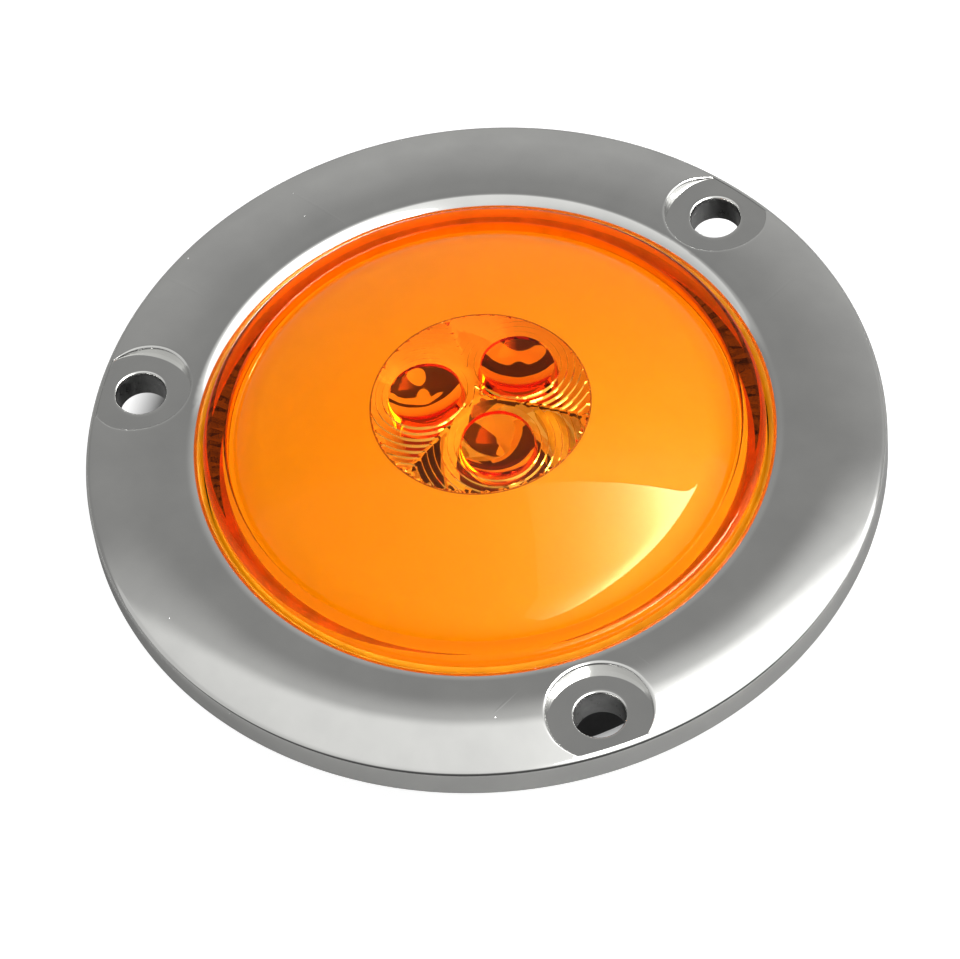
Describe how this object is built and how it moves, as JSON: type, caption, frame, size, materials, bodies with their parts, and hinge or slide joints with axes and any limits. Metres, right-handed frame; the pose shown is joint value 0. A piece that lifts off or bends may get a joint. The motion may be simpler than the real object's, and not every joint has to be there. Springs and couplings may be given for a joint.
{
  "type": "trailer signal lamp",
  "caption": "Round amber LED signal lamp with a domed lens in a chromed screw-on flange and a recessed two-pin socket behind.",
  "frame": {"origin": "centre of the flange's back, in the plane of the panel that the lamp is screwed to", "axes": "+Z out through the lens, +Y towards the first mounting hole, +X completing the right-handed frame"},
  "size_m": [0.086, 0.086, 0.0268],
  "materials": {
    "chrome_plating": "bright chrome plating on plastic",
    "amber_lens": "polished, transparent amber",
    "seal_rubber": "matte",
    "black_plastic": "fine satin, moulded",
    "gasket_foam": "matte closed-cell foam",
    "zinc_steel": "zinc plated",
    "white_plastic": "matte white",
    "board": "solder mask",
    "led_package": "satin",
    "led_silicone": "clear silicone",
    "chip_plastic": "matte moulded, tinned leads",
    "capacitor_ceramic": "satin, tinned ends",
    "resistor_ceramic": "satin, tinned ends",
    "pin_brass": "turned",
    "potting_resin": "poured epoxy"
  },
  "bodies": {
    "root": {"flange_bezel": "chrome_plating", "lens": "amber_lens", "lens_seal": "seal_rubber", "housing": "black_plastic", "mounting_gasket": "gasket_foam", "bezel_screws": "zinc_steel", "reflector": "white_plastic", "circuit_board": "board", "board_screws": "zinc_steel", "led_1": "led_package", "led_2": "led_package", "led_3": "led_package", "led_dome_1": "led_silicone", "led_dome_2": "led_silicone", "led_dome_3": "led_silicone", "driver_chip": "chip_plastic", "rectifier_diode": "chip_plastic", "surge_suppressor": "chip_plastic", "capacitor_1": "capacitor_ceramic", "capacitor_2": "capacitor_ceramic", "resistor_1": "resistor_ceramic", "resistor_2": "resistor_ceramic", "resistor_3": "resistor_ceramic", "contact_pin_1": "pin_brass", "contact_pin_2": "pin_brass", "potting": "potting_resin"}
  },
  "joints": []
}
